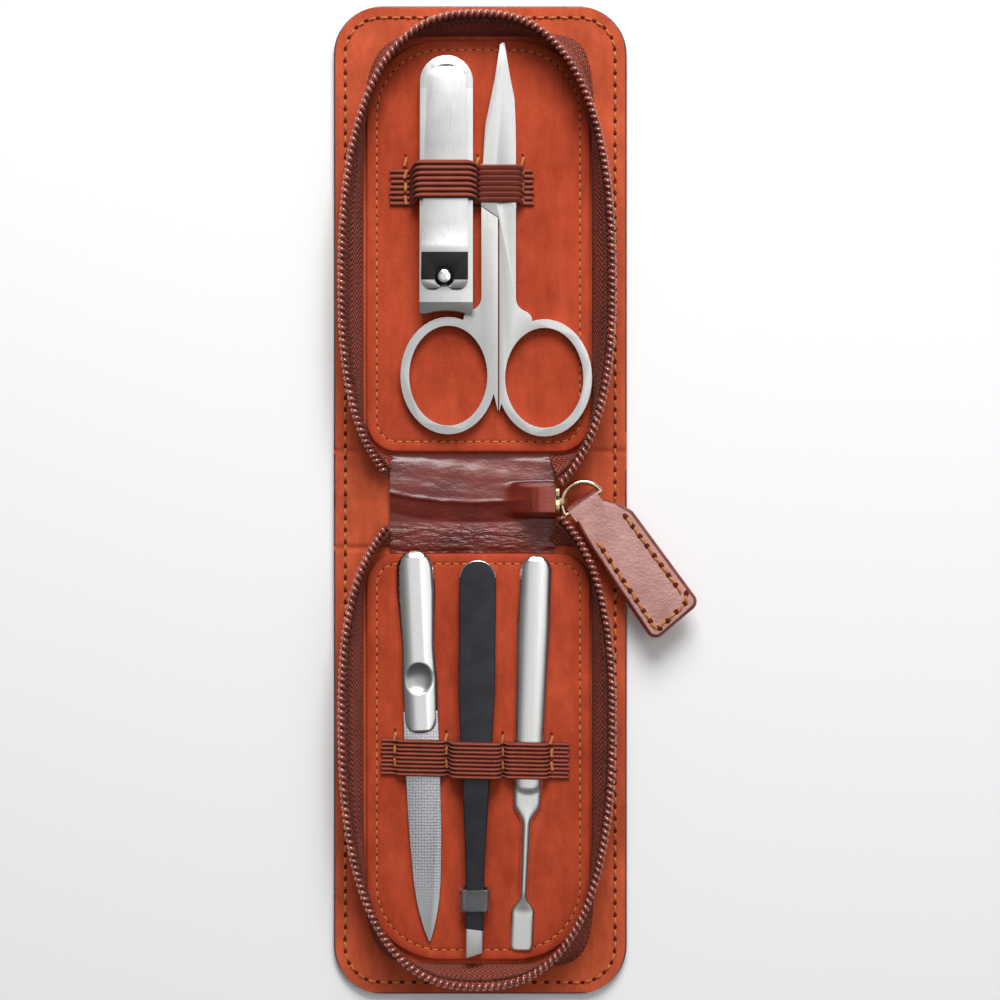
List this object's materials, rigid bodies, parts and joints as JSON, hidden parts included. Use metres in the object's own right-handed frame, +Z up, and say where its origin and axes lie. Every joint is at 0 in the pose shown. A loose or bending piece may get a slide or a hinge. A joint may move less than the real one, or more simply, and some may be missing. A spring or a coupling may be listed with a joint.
{
  "type": "manicure set case",
  "caption": "Zipped leather case, opened flat, holding a clipper, scissors, file, tweezers and cuticle pusher under elastic bands.",
  "frame": {"origin": "centre of the spine's underside, on the surface that the open case lies on", "axes": "+X across the case to the slider's side, +Y along the open case to the half with the clipper and scissors, +Z up from the surface"},
  "size_m": [0.0824, 0.225, 0.0124],
  "materials": {
    "cover_leather": "grained",
    "spine_leather": "glossy",
    "tab_leather": "glossy",
    "suede": "suede",
    "board": "pressed board",
    "zip_tape": "woven",
    "zip_coil": "nylon coil",
    "elastic": "ribbed elastic",
    "thread": "sewing thread",
    "slider_metal": "antiqued",
    "ring_metal": "polished",
    "polished_steel": "polished",
    "brushed_steel": "satin",
    "etched_steel": "etched file",
    "black_enamel": "satin black",
    "clear_plastic": "clear"
  },
  "bodies": {
    "lower_half": {"lower_cover": "cover_leather", "lower_board": "board", "lower_lining": "suede", "lower_panel": "suede", "lower_panel_card": "board", "lower_zip_tape": "zip_tape", "lower_zip_coil": "zip_coil", "lower_elastic_band": "elastic"},
    "spine": {"spine_cover": "cover_leather", "spine_board": "board", "spine_lining": "suede", "spine_tape_ends": "zip_tape", "spine_coil_ends": "zip_coil", "hinge_gusset": "spine_leather", "slider_body": "slider_metal"},
    "upper_half": {"upper_cover": "cover_leather", "upper_board": "board", "upper_lining": "suede", "upper_panel": "suede", "upper_panel_card": "board", "upper_zip_tape": "zip_tape", "upper_zip_coil": "zip_coil", "upper_elastic_band": "elastic", "clipper_lower_jaw": "polished_steel", "clipper_pin": "polished_steel", "clipper_rivet": "polished_steel"},
    "clipper_jaw": {"clipper_upper_jaw": "polished_steel"},
    "clipper_lever": {"clipper_lever": "polished_steel"},
    "pull_ring": {"pull_ring": "ring_metal"},
    "pull_tab": {"pull_tab": "tab_leather"},
    "scissors_right": {"scissors_right_half": "brushed_steel", "scissors_rivet": "polished_steel"},
    "scissors_left": {"scissors_left_half": "brushed_steel"},
    "nail_file": {"file_handle": "polished_steel", "file_blade": "etched_steel"},
    "tweezers_lower": {"tweezers_lower_arm": "black_enamel"},
    "tweezers_upper": {"tweezers_upper_arm": "black_enamel"},
    "tip_guard": {"tip_guard": "clear_plastic"},
    "cuticle_pusher": {"cuticle_pusher": "polished_steel"}
  },
  "joints": [
    {"name": "spine_fold", "type": "hinge", "parent": "lower_half", "child": "spine", "pos_m": [0, -0.0105, 0.002], "axis": [1, 0, 0], "range_deg": [0, 90]},
    {"name": "upper_fold", "type": "hinge", "parent": "spine", "child": "upper_half", "pos_m": [0, 0.0105, 0.002], "axis": [1, 0, 0], "range_deg": [0, 90]},
    {"name": "ring_swing", "type": "hinge", "parent": "spine", "child": "pull_ring", "pos_m": [0.0229, -0.0007, 0.0065], "axis": [0, 0, 1], "range_deg": [0, 54]},
    {"name": "tab_flip", "type": "hinge", "parent": "pull_ring", "child": "pull_tab", "pos_m": [0.0229, -0.0007, 0.0065], "axis": [0.8191, 0.5736, 0], "range_deg": [-90, 0]},
    {"name": "clipper_squeeze", "type": "hinge", "parent": "upper_half", "child": "clipper_jaw", "pos_m": [-0.0081, 0.094, 0.0054], "axis": [1, 0, 0], "range_deg": [0, 0.7], "stiffness_Nm_per_rad": 5},
    {"name": "clipper_lever_lift", "type": "hinge", "parent": "upper_half", "child": "clipper_lever", "pos_m": [-0.008, 0.0473, 0.0089], "axis": [-1, 0, 0], "range_deg": [-10, 0], "deforming": ["upper_elastic_band"]},
    {"name": "scissors_draw", "type": "slide", "parent": "upper_half", "child": "scissors_right", "axis": [0, 1, 0], "range_m": [-0.0085, 0]},
    {"name": "scissors_open", "type": "hinge", "parent": "scissors_right", "child": "scissors_left", "pos_m": [0.0038, 0.0708, 0.0048], "axis": [0, 0, 1], "range_deg": [-3.5, 0]},
    {"name": "file_draw", "type": "slide", "parent": "lower_half", "child": "nail_file", "axis": [0.0401, -0.9992, 0], "range_m": [-0.01, 0]},
    {"name": "tweezers_draw", "type": "slide", "parent": "lower_half", "child": "tweezers_lower", "axis": [-0.0087, -1, 0], "range_m": [-0.01, 0]},
    {"name": "tweezers_squeeze", "type": "hinge", "parent": "tweezers_lower", "child": "tweezers_upper", "pos_m": [-0.0009, -0.0206, 0.0046], "axis": [1, 0, 0], "range_deg": [0, 0.75], "stiffness_Nm_per_rad": 2},
    {"name": "guard_slide", "type": "slide", "parent": "tweezers_lower", "child": "tip_guard", "axis": [-0.0087, 1, 0], "range_m": [-0.0125, 0]},
    {"name": "pusher_draw", "type": "slide", "parent": "lower_half", "child": "cuticle_pusher", "axis": [-0.0384, -0.9993, 0], "range_m": [-0.008, 0]}
  ],
  "couplings": [
    {"joint": "upper_fold", "follows": "spine_fold", "ratio": 1},
    {"joint": "ring_swing", "follows": "spine_fold", "ratio": 0.6}
  ]
}
